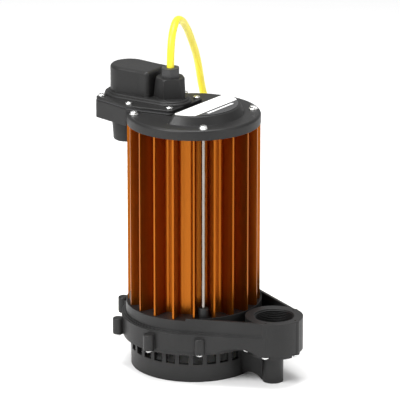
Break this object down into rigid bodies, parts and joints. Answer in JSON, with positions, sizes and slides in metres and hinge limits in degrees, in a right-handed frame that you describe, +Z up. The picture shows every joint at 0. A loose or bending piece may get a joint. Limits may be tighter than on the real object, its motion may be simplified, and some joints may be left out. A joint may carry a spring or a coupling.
{
  "type": "submersible sump pump",
  "caption": "Submersible sump pump with a finned motor housing, slotted strainer base, threaded side discharge and a power cord coiled behind it.",
  "frame": {"origin": "motor axis at the plane that the base stands on", "axes": "+Z up along the motor axis, +X towards the discharge"},
  "size_m": [0.3419, 0.3401, 0.4179],
  "materials": {
    "cast_dark": "matt powder-coated casting",
    "fin_orange": "orange anodised extrusion",
    "bright_steel": "bright zinc plated",
    "cord_yellow": "satin",
    "label": "printed foil",
    "rubber_black": "matt",
    "plastic_black": "satin",
    "brass": "machined",
    "copper": "enamelled wire",
    "lamination": "oiled lamination",
    "alu_raw": "die cast",
    "ceramic": "lapped",
    "carbon": "lapped",
    "steel": "ground",
    "gasket_grey": "matt"
  },
  "bodies": {
    "pump_body": {"base_strainer": "cast_dark", "volute_casing": "cast_dark", "motor_cover": "cast_dark", "terminal_cap": "cast_dark", "bearing_bracket": "alu_raw", "casing_screws": "bright_steel", "motor_housing": "fin_orange", "tie_rods": "bright_steel", "nameplate": "label", "cap_gasket": "gasket_grey", "cap_screws": "bright_steel", "gland_nut": "plastic_black", "moulded_cord_end": "rubber_black", "terminal_pins": "brass", "terminal_block": "plastic_black", "run_capacitor": "plastic_black", "housing_oring_lower": "rubber_black", "housing_oring_upper": "rubber_black", "seal_seat": "ceramic", "lower_bearing_outer_race": "steel", "upper_bearing_outer_race": "steel", "bearing_wave_washer": "steel", "bearing_retaining_ring": "steel", "stator_core": "lamination", "stator_windings": "copper", "power_cord": "cord_yellow", "cord_coil": "cord_yellow", "cord_tail": "cord_yellow", "plug_strain_relief": "cord_yellow", "plug_body": "cord_yellow", "plug_blades": "brass"},
    "rotor": {"shaft": "steel", "impeller": "plastic_black", "impeller_washer": "steel", "impeller_nut": "steel", "seal_head": "carbon", "seal_bellows": "rubber_black", "rotor_core": "lamination", "rotor_end_rings": "alu_raw", "lower_bearing_inner_race": "steel", "upper_bearing_inner_race": "steel"},
    "lower_ball_set": {"lower_bearing_balls": "steel"},
    "upper_ball_set": {"upper_bearing_balls": "steel"}
  },
  "joints": [
    {"name": "rotor_spin", "type": "hinge", "parent": "pump_body", "child": "rotor", "pos_m": [0, 0, 0.2], "axis": [0, 0, 1], "continuous": true},
    {"name": "lower_ball_orbit", "type": "hinge", "parent": "pump_body", "child": "lower_ball_set", "pos_m": [0, 0, 0.098], "axis": [0, 0, 1], "continuous": true},
    {"name": "upper_ball_orbit", "type": "hinge", "parent": "pump_body", "child": "upper_ball_set", "pos_m": [0, 0, 0.2935], "axis": [0, 0, 1], "continuous": true}
  ],
  "couplings": [
    {"joint": "lower_ball_orbit", "follows": "rotor_spin", "ratio": 0.38},
    {"joint": "upper_ball_orbit", "follows": "rotor_spin", "ratio": 0.38}
  ]
}
